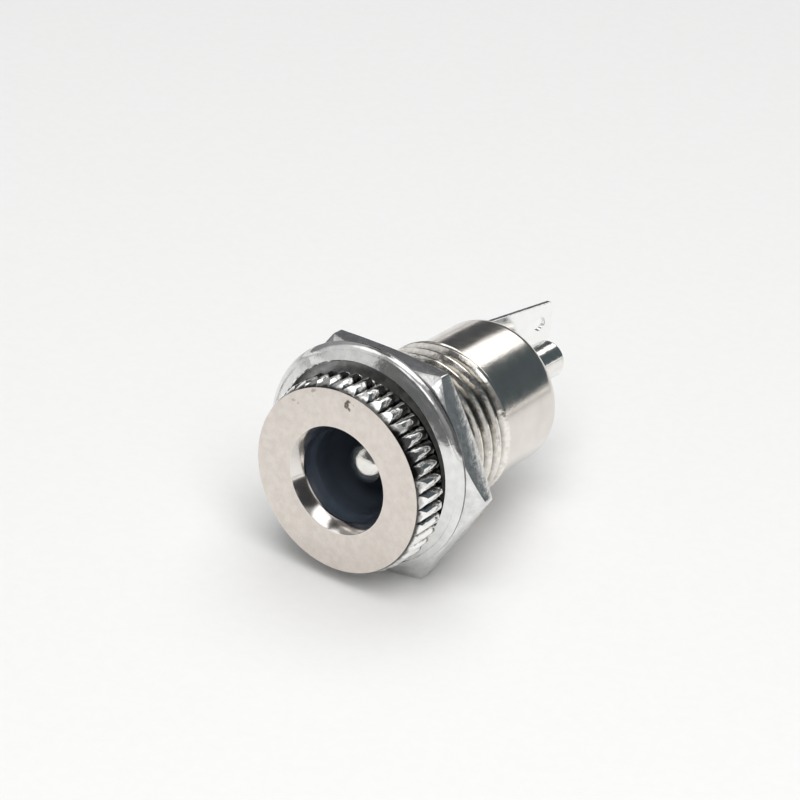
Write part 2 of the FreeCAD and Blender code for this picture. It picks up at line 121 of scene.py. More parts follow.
# The washer: a shallow arc up to a crest, a small groove behind it and a rounded rim
WASHER_LIFT = 0.65
WASHER_HOLE_RADIUS = 6.6
WASHER_HOLE_EDGE = 0.05
WASHER_HOLE_EDGE_WIDTH = 0.07
WASHER_RADIUS = 7.7
WASHER_CREST_INSET = 0.45
WASHER_CREST_Y = 0.33
WASHER_CREST_TURN = 8.0
WASHER_CREST_STEPS = 4
WASHER_GROOVE_INSET = 0.39
WASHER_GROOVE_Y = 0.26
WASHER_ROUND_TURN = 40.0
WASHER_ROUND_STEPS = 8
WASHER_ROUND_Y = 0.64
WASHER_BACK_Y = 0.85
WASHER_BACK_EDGE = 0.08

# The nut. A slope says how far its cone runs along the axis for each step outwards.
NUT_HALF_FLATS = 7.4
NUT_FRONT_Y = 0.85
NUT_BACK_Y = 3.0
NUT_FRONT_CIRCLE = 7.05
NUT_FRONT_SLOPE = 0.736
NUT_REAR_CIRCLE = 7.3
NUT_REAR_SLOPE = 0.225
NUT_CORNER_ROUNDING = 0.12
NUT_SIDE_EDGE = 0.05
NUT_SIDE_STEPS = 40
NUT_BORE_RADIUS = 5.5
NUT_BORE_CHAMFER = 0.35

# The centre pin
PIN_RADIUS = 1.25
PIN_DOME = 0.46
PIN_STEPS = 128
PIN_EDGE_STEPS = 4
PIN_ROOT_RADIUS = 1.6
PIN_ROOT_Y = 7.9
PIN_TAIL_Y = 10.4
PIN_TAIL_RADIUS = 1.3
PIN_TAIL_ROUNDING = 0.2

# The socket's lining and the slot in it for the spring leaf
LINING_RADIUS = 3.0
LINING_STEPS = 192
LINING_BACK_Y = 9.3
LINING_FLOOR_EDGE = 0.15
LINING_FUNNEL_Y = (-1.05, -0.65)
LINING_FUNNEL_EDGE = 0.1
LINING_HOLE_RADIUS = 1.62
# Painted light in the lining: its colour gets paler between these depths, standing in for light the
# deep socket doesn't get
LINING_PAINTED_LIGHT_Y = (0.5, 5.5)
LINING_PAINTED_LIGHT_COLOUR = (0.2, 0.24, 0.3, 1.0)
SLOT_X = (2.09, 5.3)
SLOT_Y = (-1.05, 10.3)
SLOT_Z = (0.64, 2.26)

# Patterns of the materials: the size of their grains, that of smudges as a share of the
# mottle's, and how far the edge of the dirt and painted shade in grooves wanders
WAVE_GRAIN = 0.7
SMUDGE_SHARE = 0.6
CLOUD_GRAIN = 1.5
SCUFF_GRAIN = 0.8
DIRT_AND_SHADE_GRAIN = 0.5
DIRT_AND_SHADE_PLAY = 0.04
PAPER_GRAIN = 0.8

# Specks on the face: place across and up, size, and how dark
SPECKS = (
    (0.36, 5.84, 0.2, 0.95),
    (0.34, 5.62, 0.2, 0.95),
    (0.24, 5.38, 0.12, 0.85),
    (0.48, 5.36, 0.12, 0.8),
    (-2.47, 5.54, 0.17, 0.55),
    (-3.47, 4.29, 0.13, 0.45),
    (-3.87, 4.35, 0.1, 0.35),
)
SPECK_COLOUR = (0.14, 0.115, 0.09, 1.0)
SPECK_CORE = 0.4
SPECK_WARP = (0.4, 1.7)
SPECK_WARP_GRAIN = 0.35

# The material index of each zone of a piece. The second index of a plain piece marks zones whose
# material paints in shade or light: the washer's rim and back and the nut's front face.
SATIN, POLISHED, KNURLED, THREADED, BRUSHED = range(5)
PLAIN, PAINTED_SHADING = range(2)

# The room that shiny surfaces see above the white floor. Heights are the sine of an elevation.
HORIZON = (0.07, 0.11)
FLOOR_COLOUR = (0.97, 0.96, 0.94, 1.0)
WALL_COLOUR = (0.17, 0.172, 0.178, 1.0)
ROOM_GREYS = ((0.5, 0.3), (0.75, 0.34), (1.0, 0.3))

# Light and dark patches in that room: azimuth, elevation, the angles from their middle at which
# they start to fade and end, and their colour. Those up to LOW_PATCH also cover the floor.
PATCHES = (
    (310.0, 22.0, 12.0, 27.0, (0.72, 0.72, 0.72)),
    (147.0, 18.0, 20.0, 42.0, (0.08, 0.1, 0.11)),
    (218.0, 20.0, 14.0, 26.0, (0.085, 0.088, 0.095)),
    (190.0, 18.0, 11.0, 16.0, (0.04, 0.04, 0.043)),
    (4.0, 14.0, 12.0, 18.0, (0.085, 0.088, 0.092)),
    (21.0, 3.0, 7.0, 11.0, (0.12, 0.122, 0.126)),
    (343.0, 26.0, 9.0, 13.0, (0.1, 0.1, 0.1)),
    (80.0, 14.0, 17.0, 25.0, (0.05, 0.05, 0.053)),
    (72.0, 42.0, 17.0, 24.0, (0.05, 0.05, 0.053)),
    (103.0, 36.0, 10.0, 18.0, (0.06, 0.06, 0.064)),
    (192.0, 42.0, 9.0, 16.0, (2.1, 2.08, 2.03)),
    (150.0, 73.0, 14.0, 22.0, (1.4, 1.4, 1.4)),
    (236.0, 57.0, 9.0, 16.0, (1.4, 1.4, 1.38)),
    (354.0, 80.0, 20.0, 25.0, (1.5, 1.5, 1.5)),
    (288.0, 64.0, 9.0, 13.0, (0.07, 0.07, 0.07)),
    (306.0, 45.0, 10.0, 15.0, (1.3, 1.3, 1.3)),
    (354.0, 41.0, 6.0, 10.0, (1.2, 1.2, 1.2)),
    (15.0, 34.0, 6.0, 11.0, (1.5, 1.5, 1.5)),
)
LOW_PATCH = 5.0

# The floor and the light on the object
FLOOR_Z = -7.4
FLOOR_SIZE = 8000.0
FLOOR_GLOW = 0.02
PAPER_GREYS = (0.79, 0.8)
AMBIENT = 0.24
SOFTBOX_DISTANCE = 400.0

# The camera: its place, and the directions that point back from it and up
CAMERA_PLACE = (126.2, -185.7, 123.3)
CAMERA_BACK = (0.4906, -0.737, 0.466)
CAMERA_UP = (-0.3371, 0.333, 0.881)
CAMERA_LENS = 180.0
CAMERA_SENSOR = 36.0


# Mesh helpers

def turned(radius, y, angle):
    """A point at a radius from the jack's axis, at a length along it and an angle round it."""
    return (radius * math.cos(math.radians(angle)), y, radius * math.sin(math.radians(angle)))


def soften(points, rounding, steps=CORNER_STEPS, closed=True):
    """Rounds the corners of an outline of (radius, y). A point may give its own rounding as a
    third item. Every corner takes the same number of points, and the ends of an open outline,
    which stay sharp, take as many."""
    softened = []
    for index, point in enumerate(points):
        size = point[2] if len(point) == 3 else rounding
        corner = Vector(point[:2])
        at_end = not closed and index in (0, len(points) - 1)
        before = Vector(points[index - 1][:2])
        after = Vector(points[(index + 1) % len(points)][:2])
        if at_end or not (before - corner).length or not (after - corner).length:
            softened.extend([tuple(corner)] * (steps + 1))
            continue
        start, end = [
            corner + way.normalized() * min(size, way.length * LARGEST_SHARE)
            for way in (before - corner, after - corner)
        ]
        for step in range(steps + 1):
            t = step / steps
            softened.append(tuple(start * (1 - t) ** 2 + corner * 2 * t * (1 - t) + end * t ** 2))
    return softened


def arc(start, end, turn, steps):
    """Points of an arc from start to end, both (radius, y), that turns by an angle in degrees.
    Both ends are left out."""
    first, last = Vector(start), Vector(end)
    half = math.radians(turn) / 2
    chord = last - first
    centre = (first + last) / 2 + Vector((-chord.y, chord.x)) / 2 / math.tan(half)
    spoke = first - centre
    points = []
    for step in range(1, steps):
        around = math.radians(turn) * step / steps
        turned_spoke = Matrix.Rotation(around, 2) @ spoke
        points.append(tuple(centre + turned_spoke))
    return points


def skin(name, columns, angles, closed, zones=None, lift=0.0):
    """A piece made of columns of (radius, y) points, one column at each angle round the axis,
    the last at the same angle as the first. A closed outline goes round a ring's section.
    Zones give the material index of the faces behind each row."""
    rows = len(columns[0])
    points = []
    for column, angle in zip(columns, angles):
        for radius, y in column:
            x, along, z = turned(radius, y, angle)
            points.append((x * MM, along * MM, (z + lift) * MM))
    faces, indices = [], []
    for column in range(len(columns) - 1):
        here, there = column * rows, (column + 1) * rows
        for row in range(rows if closed else rows - 1):
            following = (row + 1) % rows
            faces.append((here + row, here + following, there + following, there + row))
            indices.append(zones[row] if zones else 0)
    mesh = bpy.data.meshes.new(name)
    mesh.from_pydata(points, [], faces)
    mesh.polygons.foreach_set("material_index", indices)
    return finish_mesh(name, mesh)


def finish_mesh(name, mesh):
    """Merges doubled points, turns the faces outwards and shades smooth between sharp edges."""
    work = bmesh.new()
    work.from_mesh(mesh)
    bmesh.ops.remove_doubles(work, verts=work.verts, dist=MERGE)
    bmesh.ops.dissolve_degenerate(work, edges=work.edges, dist=MERGE)
    bmesh.ops.recalc_face_normals(work, faces=work.faces)
    work.to_mesh(mesh)
    work.free()
    shade(mesh)
    return place(name, mesh)


def shade(mesh):
    """Shades a mesh smooth between its sharp edges."""
    mesh.shade_smooth()
    mesh.set_sharp_from_angle(angle=math.radians(SHARP_ANGLE))


def place(name, data):
    """Adds an object with a mesh, a lamp or a camera to the scene."""
    thing = bpy.data.objects.new(name, data)
    bpy.context.scene.collection.objects.link(thing)
    return thing


def lathe(name, outline, count=TURNED_STEPS, closed=True, zones=None, lift=0.0):
    """A piece with the same outline all round."""
    angles = [360.0 * index / count for index in range(count + 1)]
    return skin(name, [outline] * len(angles), angles, closed, zones, lift)


def cut_slot(piece, across, along, up):
    """Cuts a straight slot out of a piece: a box between two values of x, of y and of z."""
    box = bmesh.new()
    for x in across:
        for y in along:
            for z in up:
                box.verts.new((x * MM, y * MM, z * MM))
    bmesh.ops.convex_hull(box, input=box.verts)
    mesh = bpy.data.meshes.new("slot")
    box.to_mesh(mesh)
    box.free()
    cutter = place("slot", mesh)
    cut = piece.modifiers.new("slot", "BOOLEAN")
    cut.operation = "DIFFERENCE"
    cut.object = cutter
    apply_modifiers(piece)
    bpy.data.objects.remove(cutter)
    piece.data.materials.clear()
    shade(piece.data)


def apply_modifiers(piece):
    """Turns a piece's modifiers into mesh."""
    graph = bpy.context.evaluated_depsgraph_get()
    mesh = bpy.data.meshes.new_from_object(piece.evaluated_get(graph))
    piece.modifiers.clear()
    piece.data = mesh


def bevelled_copy(node, name, width):
    """A copy of a CAD node whose edges are slightly rounded."""
    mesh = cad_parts[node].data.copy()
    mesh.materials.clear()
    work = bmesh.new()
    work.from_mesh(mesh)
    bmesh.ops.remove_doubles(work, verts=work.verts, dist=MERGE)
    flat = math.radians(SAME_PLANE_ANGLE)
    bmesh.ops.dissolve_limit(work, angle_limit=flat, verts=work.verts, edges=work.edges)
    work.to_mesh(mesh)
    work.free()
    piece = place(name, mesh)
    bevel = piece.modifiers.new("edges", "BEVEL")
    bevel.width = width * MM
    bevel.segments = 2
    bevel.limit_method = "ANGLE"
    bevel.angle_limit = math.radians(SHARP_ANGLE)
    apply_modifiers(piece)
    shade(piece.data)
    return piece


def dress(piece, *surfaces):
    """Gives a piece its materials, one for each zone."""
    for surface in surfaces:
        piece.data.materials.append(surface.material)


# Material helpers

class Nodes:
    """A node tree and short ways to add nodes to it."""

    def __init__(self, tree):
        self.tree = tree

    def add(self, kind, sockets=(), **settings):
        """A node with some of its sockets set to a value or linked to another node's output."""
        node = self.tree.nodes.new(kind)
        for name, value in settings.items():
            setattr(node, name, value)
        for name, value in sockets:
            self.put(node.inputs[name], value)
        return node

    def put(self, socket, value):
        """Links an output to a socket, or sets the socket."""
        if isinstance(value, bpy.types.NodeSocket):
            self.tree.links.new(value, socket)
        else:
            socket.default_value = value

    def span(self, value, low, high, start=0.35, end=0.65, kind="LINEAR"):
        """Stretches the part of a value between start and end to run from low to high."""
        node = self.add("ShaderNodeMapRange", (
            ("Value", value),
            ("From Min", start),
            ("From Max", end),
            ("To Min", low),
            ("To Max", high),
        ), interpolation_type=kind)
        return node.outputs["Result"]

    def blend(self, amount, first, second):
        """A colour between two others. The node has more sockets of these names, for numbers, so
        the ones for colours are given by their index."""
        node = self.add("ShaderNodeMix", (("Factor", amount),), data_type="RGBA")
        self.put(node.inputs[6], first)
        self.put(node.inputs[7], second)
        return node.outputs[2]

    def math(self, operation, first, second):
        """One sum with two numbers."""
        node = self.add("ShaderNodeMath", ((0, first), (1, second)), operation=operation)
        return node.outputs[0]

    def shiny_ray(self):
        """1 for what is seen in a reflection or through glass, and 0 for the rest."""
        rays = self.add("ShaderNodeLightPath").outputs
        return self.math("MAXIMUM", rays["Is Glossy Ray"], rays["Is Transmission Ray"])

    def camera_ray(self):
        """1 for what the camera sees directly, and 0 for the rest."""
        return self.add("ShaderNodeLightPath").outputs["Is Camera Ray"]


class Surface(Nodes):
    """A material, its shader and the patterns on it."""

    def __init__(self, name):
        self.material = bpy.data.materials.new(name)
        self.material.use_nodes = True
        super().__init__(self.material.node_tree)
        self.shader = self.tree.nodes["Principled BSDF"]
        self.where = self.add("ShaderNodeTexCoord").outputs["Object"]

    def noise(self, grain, detail=3.0, rough=0.55):
        """Noise whose grains are about so many millimetres."""
        node = self.add("ShaderNodeTexNoise", (
            ("Vector", self.where),
            ("Scale", 1 / (grain * MM)),
            ("Detail", detail),
            ("Roughness", rough),
        ))
        return node.outputs["Fac"]

    def bump(self, height, depth, below=None):
        """A bumpy surface: height runs from 0 to 1 over so many millimetres."""
        node = self.add("ShaderNodeBump", (("Height", height), ("Distance", depth * MM)))
        if below is not None:
            self.put(node.inputs["Normal"], below)
        return node.outputs["Normal"]

    def colour(self):
        """What gives the shader its colour so far."""
        return self.shader.inputs["Base Color"].links[0].from_socket

    def set(self, **values):
        """Sets the shader's sockets, with _ for a space."""
        for name, value in values.items():
            self.put(self.shader.inputs[name.replace("_", " ")], value)


def metal(name, light, dark, roughness, mottle, grain, grain_depth, wave=0.0, purity=1.0):
    """Plated metal: mottled colour and gloss, a fine grain and, where wave is set, a slightly
    uneven surface whose waves are so many millimetres deep. Less pure metal is a bit dull."""
    surface = Surface(name)
    blotches = surface.noise(mottle, detail=4.0)
    colour = surface.blend(surface.span(blotches, 0.0, 1.0), (*dark, 1.0), (*light, 1.0))
    smudges = surface.noise(mottle * SMUDGE_SHARE, detail=5.0, rough=0.65)
    gloss = surface.span(smudges, *roughness)
    normal = surface.bump(surface.noise(grain, detail=2.0), grain_depth)
    if wave:
        normal = surface.bump(surface.noise(WAVE_GRAIN, detail=1.0), wave, below=normal)
    surface.set(Metallic=purity, Base_Color=colour, Roughness=gloss, Normal=normal)
    return surface


def plastic(name, light, dark, roughness, grain, grain_depth):
    """Moulded plastic with a faint texture."""
    surface = Surface(name)
    cloud = surface.noise(CLOUD_GRAIN)
    colour = surface.blend(surface.span(cloud, 0.0, 1.0), (*dark, 1.0), (*light, 1.0))
    gloss = surface.span(surface.noise(SCUFF_GRAIN, detail=4.0), *roughness)
    normal = surface.bump(surface.noise(grain), grain_depth)
    surface.set(Base_Color=colour, Roughness=gloss, Normal=normal, IOR=1.5)
    return surface


def add_dirt_and_painted_shade(surface, start, end, amount, tint):
    """Darkens a metal near the bottom of its grooves: dirt there, and painted shade where the
    grooves lie in shade. It is most up to the radius start, and none from the radius end on."""
    colour = surface.colour()
    sideways = (1.0, 0.0, 1.0)
    flat = surface.add(
        "ShaderNodeVectorMath", ((0, surface.where), (1, sideways)), operation="MULTIPLY"
    )
    radius = surface.add("ShaderNodeVectorMath", ((0, flat.outputs[0]),), operation="LENGTH")
    uneven = surface.span(surface.noise(DIRT_AND_SHADE_GRAIN), -DIRT_AND_SHADE_PLAY * MM, DIRT_AND_SHADE_PLAY * MM)
    reach = surface.math("ADD", radius.outputs["Value"], uneven)
    # Painted shade and dirt: darker towards the bottom of the grooves
    dirt_and_shade = surface.span(reach, amount, 0.0, start * MM, end * MM)
    surface.set(Base_Color=surface.blend(dirt_and_shade, colour, (*tint, 1.0)))


# Materials

def face_metal():
    """The head's satin face, with a few dark specks near its upper edge."""
    surface = metal(
        "face_nickel", light=(0.79, 0.735, 0.68), dark=(0.72, 0.665, 0.61),
        roughness=(0.3, 0.42), mottle=0.45, grain=0.07, grain_depth=0.009,
    )
    colour = surface.colour()
    warp = surface.span(surface.noise(SPECK_WARP_GRAIN, detail=2.0, rough=0.5), *SPECK_WARP)
    for x, z, size, depth in SPECKS:
        centre = (x * MM, FACE_Y * MM, z * MM)
        reach = surface.add(
            "ShaderNodeVectorMath", ((0, surface.where), (1, centre)), operation="DISTANCE"
        )
        uneven = surface.math("MULTIPLY", warp, reach.outputs["Value"])
        amount = surface.span(uneven, depth, 0.0, size * SPECK_CORE * MM, size * MM)
        colour = surface.blend(amount, colour, SPECK_COLOUR)
    surface.set(Base_Color=colour)
    return surface


def cone_metal():
    """The polished cone round the mouth."""
    return metal(
        "polished_nickel", light=(0.80, 0.765, 0.73), dark=(0.75, 0.715, 0.68),
        roughness=(0.09, 0.17), mottle=1.5, grain=0.2, grain_depth=0.0015,
    )


def knurl_metal():
    """The knurl's bright teeth, with dirt and painted shade darkening their valleys."""
    surface = metal(
        "knurl_nickel", light=(0.97, 0.965, 0.95), dark=(0.9, 0.895, 0.88),
        roughness=(0.05, 0.11), mottle=0.4, grain=0.2, grain_depth=0.005, wave=0.022,
    )
    # Painted shade, with some dirt, in the knurl's valleys
    add_dirt_and_painted_shade(
        surface, start=VALLEY_RADIUS + 0.03, end=VALLEY_RADIUS + 0.13,
        amount=0.93, tint=(0.03, 0.028, 0.026),
    )
    return surface


def thread_metal():
    """The thread, lighter at its crests, with dirt and painted shade darkening its grooves."""
    surface = metal(
        "thread_nickel", light=(0.95, 0.92, 0.87), dark=(0.76, 0.72, 0.66),
        roughness=(0.08, 0.2), mottle=0.3, grain=0.2, grain_depth=0.007, wave=0.03,
    )
    # Painted shade, with some dirt, in the thread's grooves
    add_dirt_and_painted_shade(
        surface, start=THREAD_RADIUS - 0.5, end=THREAD_RADIUS - 0.12,
        amount=0.85, tint=(0.11, 0.1, 0.085),
    )
    return surface


def barrel_metal():
    """The shell's smooth barrel."""
    return metal(
        "brushed_nickel", light=(0.79, 0.75, 0.705), dark=(0.73, 0.69, 0.645),
        roughness=(0.13, 0.21), mottle=1.5, grain=0.15, grain_depth=0.004,
    )


def washer_metal():
    """The washer's bright front."""
    return metal(
        "washer_nickel", light=(0.83, 0.83, 0.82), dark=(0.72, 0.72, 0.715),
        roughness=(0.07, 0.15), mottle=0.7, grain=0.16, grain_depth=0.004, wave=0.014, purity=0.93,
    )


def painted_shade_on_washer_edge():
    """The washer's rim and back, rougher and darkened with painted shade where they meet the nut.
    """
    return metal(
        "washer_edge_painted_shade", light=(0.34, 0.34, 0.335), dark=(0.16, 0.16, 0.158),
        roughness=(0.25, 0.4), mottle=0.5, grain=0.12, grain_depth=0.008,
    )


def nut_metal():
    """The nut's bright plating, on all but its front face."""
    return metal(
        "nut_nickel", light=(0.84, 0.84, 0.83), dark=(0.66, 0.66, 0.66),
        roughness=(0.09, 0.2), mottle=0.6, grain=0.15, grain_depth=0.005, wave=0.018, purity=0.93,
    )


def nut_face_painted_light():
    """The nut's front face, which shows through the washer's hole: a duller, partly diffuse copy of
    the nut's nickel that lightens the shaded gap there, as painted light.
    """
    return metal(
        "nut_front_lightened", light=(0.62, 0.63, 0.62), dark=(0.38, 0.39, 0.385),
        roughness=(0.35, 0.5), mottle=0.5, grain=0.12, grain_depth=0.01, purity=0.55,
    )


def pin_metal():
    """The centre pin's bright plating."""
    return metal(
        "pin_nickel", light=(0.92, 0.91, 0.88), dark=(0.82, 0.8, 0.76),
        roughness=(0.08, 0.18), mottle=0.5, grain=0.12, grain_depth=0.004, wave=0.015,
    )


def contact_metal():
    """The sleeve contact's tinned sheet."""
    return metal(
        "contact_tin", light=(0.99, 0.99, 0.98), dark=(0.95, 0.95, 0.94),
        roughness=(0.14, 0.24), mottle=0.7, grain=0.12, grain_depth=0.003,
    )


def lining_plastic():
    """The socket's dark blue lining, with painted light that makes it paler with depth."""
    surface = plastic(
        "lining_plastic", light=(0.05, 0.062, 0.083), dark=(0.043, 0.054, 0.073),
        roughness=(0.14, 0.26), grain=0.15, grain_depth=0.003,
    )
    colour = surface.colour()
    along = surface.add("ShaderNodeSeparateXYZ", (("Vector", surface.where),)).outputs["Y"]
    start, end = LINING_PAINTED_LIGHT_Y
    # Painted light: paler deeper in the socket
    depth = surface.span(along, 0.0, 1.0, start * MM, end * MM)
    surface.set(Base_Color=surface.blend(depth, colour, LINING_PAINTED_LIGHT_COLOUR))
    return surface


def plug_plastic():
    """The rear insulator's black moulding."""
    return plastic(
        "plug_plastic", light=(0.026, 0.026, 0.028), dark=(0.015, 0.015, 0.017),
        roughness=(0.35, 0.5), grain=0.1, grain_depth=0.005,
    )


def floor_paper():
    """Pale paper that glows slightly for the camera and for shiny surfaces."""
    surface = Surface("floor_paper")
    dark, light = [(grey, grey, grey, 1.0) for grey in PAPER_GREYS]
    paper = surface.blend(surface.span(surface.noise(PAPER_GRAIN), 0.0, 1.0), dark, light)
    surface.set(Base_Color=paper, Roughness=0.9, Specular_IOR_Level=0.0)
    seen = surface.math("MAXIMUM", surface.camera_ray(), surface.shiny_ray())
    glow = surface.math("MULTIPLY", seen, FLOOR_GLOW)
    surface.set(Emission_Color=(1.0, 1.0, 1.0, 1.0), Emission_Strength=glow)
    return surface


# Pieces

def valley_radius(offset, depth):
    """The knurl's radius at an angle from the middle of a valley, with the valley made deeper or
    shallower by some millimetres. The rolled teeth bulge towards their crests."""
    bottom = VALLEY_RADIUS + depth
    crest = math.hypot(CREST_ACROSS, CREST_UP)
    left = 1.0 - min(math.radians(offset) / math.atan2(CREST_ACROSS, CREST_UP), 1.0)
    return bottom + (crest - bottom) * (1.0 - left ** TOOTH_BULGE)


def knurl_columns(chance):
    """The angle of each column of the shell, with the knurl's radius there at the front and at
    three places further back. The teeth aren't quite alike. The last column closes the ring."""
    crest = math.degrees(math.atan2(CREST_ACROSS, CREST_UP))
    pitch = 360.0 / TEETH
    side = [crest * part for part in TOOTH_STATIONS]
    offsets = [0.0] + side + [pitch - offset for offset in reversed(side)]
    depths = [[chance.uniform(-VALLEY_PLAY, VALLEY_PLAY) for _ in range(2)] for _ in range(TEETH)]
    wear = [[chance.uniform(0.0, CREST_WEAR) for _ in range(2)] for _ in range(TEETH)]
    columns = []
    for tooth in range(TEETH + 1):
        for offset in offsets[:1] if tooth == TEETH else offsets:
            from_valley = min(offset, pitch - offset)
            nearest = tooth if offset < pitch / 2 else tooth + 1
            radii = []
            for station in range(len(HEAD_STATIONS) + 2):
                end = station // 2
                flank = valley_radius(from_valley, depths[nearest % TEETH][end])
                radii.append(min(flank, HEAD_RADIUS - wear[tooth % TEETH][end]))
            columns.append((FIRST_VALLEY + tooth * pitch + offset, radii))
    return columns


def head_outline(radii):
    """One column of the head, from the back of the lip over the face and the knurl to the seat.
    It comes in two parts: the turned front and the knurl."""
    front = max(radii[0], FACE_RADIUS + FACE_MARGIN)
    cone_y = FACE_Y + (front - FACE_RADIUS) / (HEAD_RADIUS - FACE_RADIUS) * CONE_LENGTH
    lip = soften((
        (LIP_RADIUS, LIP_BACK_Y),
        (LIP_RADIUS, LIP_FRONT_Y),
        (MOUTH_RADIUS, FACE_Y, MOUTH_EDGE),
        (FACE_RADIUS, FACE_Y, FACE_EDGE),
        (front, cone_y),
    ), LIP_EDGE, closed=False)
    length = -SEAT_CHAMFER - cone_y
    knurl = [(radius, cone_y + length * part) for radius, part in zip(radii[1:], HEAD_STATIONS)]
    knurl.append((radii[-1], -SEAT_CHAMFER))
    knurl.append((min(radii[-1], HEAD_RADIUS - SEAT_CHAMFER), 0.0))
    return lip, knurl


def thread_radius(angle, y):
    """The thread's surface at an angle and a length. Its depth fades out at the end."""
    phase = (y / THREAD_PITCH + angle / 360.0) % 1.0
    from_crest = min(phase, 1.0 - phase)
    depth = min(max((from_crest - CREST_SHARE) / FLANK_SHARE, 0.0), 1.0)
    if from_crest > ROOT_SHARE:
        depth += ROOT_EXTRA_DEPTH
    fade = min(max((THREAD_END_Y - y) / THREAD_FADE, 0.0), 1.0)
    return THREAD_RADIUS - THREAD_DEPTH * depth * fade


def thread_rows(angle):
    """The thread's points in one column, held between the seat and the thread's end. Two spare
    turns reach past both of them at every angle."""
    side = [CREST_SHARE, CREST_SHARE + FLANK_SHARE / 2, CREST_SHARE + FLANK_SHARE]
    parts = side + [0.5] + [1.0 - part for part in reversed(side)]
    rows = []
    for turn in range(int(THREAD_END_Y / THREAD_PITCH) + 2):
        for part in parts:
            y = (turn + part - (angle - FIRST_VALLEY) / 360.0) * THREAD_PITCH
            y = min(max(y, 0.0), THREAD_END_Y)
            rows.append((thread_radius(angle - FIRST_VALLEY, y), y))
    return rows


def barrel_outline():
    """The barrel, its rounded end, the rim closed in over the insulator, and the bore."""
    rim = (BARREL_RADIUS, REAR_Y - REAR_ROUNDING)
    inside = (BARREL_RADIUS - REAR_ROUNDING, REAR_Y)
    return [
        (THREAD_RADIUS - FINE_EDGE, THREAD_END_Y + FINE_EDGE),
        (BARREL_RADIUS + EDGE, BARREL_Y - FINE_EDGE),
        (BARREL_RADIUS, BARREL_Y + EDGE),
        (BARREL_RADIUS, BARREL_Y + BARREL_RING_LENGTH),
        rim,
        *arc(rim, inside, 90.0, ARC_STEPS),
        inside,
        (OPENING_RADIUS + EDGE, REAR_Y),
        (OPENING_RADIUS, REAR_Y - EDGE),
        (OPENING_RADIUS, REAR_Y - CRIMP_LENGTH),
        (BORE_RADIUS, REAR_Y - CRIMP_LENGTH),
        (BORE_RADIUS, LIP_BACK_Y),
    ]


def make_shell():
    """The turned shell. One column of points runs from the lip over the face, the knurled head,
    the thread and the barrel, and back through the bore."""
    barrel = barrel_outline()
    columns, angles = [], []
    for angle, radii in knurl_columns(random.Random(SEED)):
        lip, knurl = head_outline(radii)
        thread = thread_rows(angle)
        columns.append(lip + knurl + thread + barrel)
        angles.append(angle)
    zones = [POLISHED] * (3 * CORNER_POINTS - 1) + [SATIN] * CORNER_POINTS
    zones += [KNURLED] * (len(lip) + len(knurl) - len(zones))
    zones += [THREADED] * len(thread) + [BRUSHED] * len(barrel)
    shell = skin("shell", columns, angles, True, zones)
    dress(shell, face_metal(), cone_metal(), knurl_metal(), thread_metal(), barrel_metal())
    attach(shell, BODY)
    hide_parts("housing")


def make_washer():
    """The washer, clamped off centre."""
    inner = (WASHER_HOLE_RADIUS + WASHER_HOLE_EDGE_WIDTH, 0.0)
    crest = (WASHER_RADIUS - WASHER_CREST_INSET, WASHER_CREST_Y)
    groove = (WASHER_RADIUS - WASHER_GROOVE_INSET, WASHER_GROOVE_Y)
    rim = (WASHER_RADIUS, WASHER_ROUND_Y)
    outline = [(WASHER_HOLE_RADIUS, WASHER_HOLE_EDGE), inner]
    outline += [*arc(inner, crest, WASHER_CREST_TURN, WASHER_CREST_STEPS), crest]
    outline += [groove, *arc(groove, rim, WASHER_ROUND_TURN, WASHER_ROUND_STEPS)]
    outline += soften((
        rim,
        (WASHER_RADIUS, WASHER_BACK_Y, WASHER_BACK_EDGE),
        (WASHER_HOLE_RADIUS, WASHER_BACK_Y),
    ), EDGE, closed=False)
    # The rim and back get painted shade where the washer meets the nut.
    zones = [PAINTED_SHADING if y > WASHER_ROUND_Y - FINE_EDGE else PLAIN for _, y in outline]
    washer = lathe("panel_washer", outline, zones=zones, lift=WASHER_LIFT - BOX_MARGIN)
    dress(washer, washer_metal(), painted_shade_on_washer_edge())
    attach(washer, BODY)
    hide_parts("washer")


def hexagon_radius(angle):
    """The nut's outline: how far it reaches at an angle, with slightly rounded corners."""
    from_corner = abs((angle + 30.0) % 60.0 - 30.0)
    corner = NUT_HALF_FLATS / math.cos(math.radians(30.0))
    inset = corner - NUT_CORNER_ROUNDING / math.sin(math.radians(60.0))
    reach_up = NUT_CORNER_ROUNDING * math.sin(math.radians(30.0))
    reach_out = inset + NUT_CORNER_ROUNDING * math.cos(math.radians(30.0))
    if math.radians(from_corner) < math.atan2(reach_up, reach_out):
        across = inset * math.sin(math.radians(from_corner))
        along = inset * math.cos(math.radians(from_corner))
        return along + math.sqrt(NUT_CORNER_ROUNDING ** 2 - across ** 2)
    return NUT_HALF_FLATS / math.cos(math.radians(30.0 - from_corner))


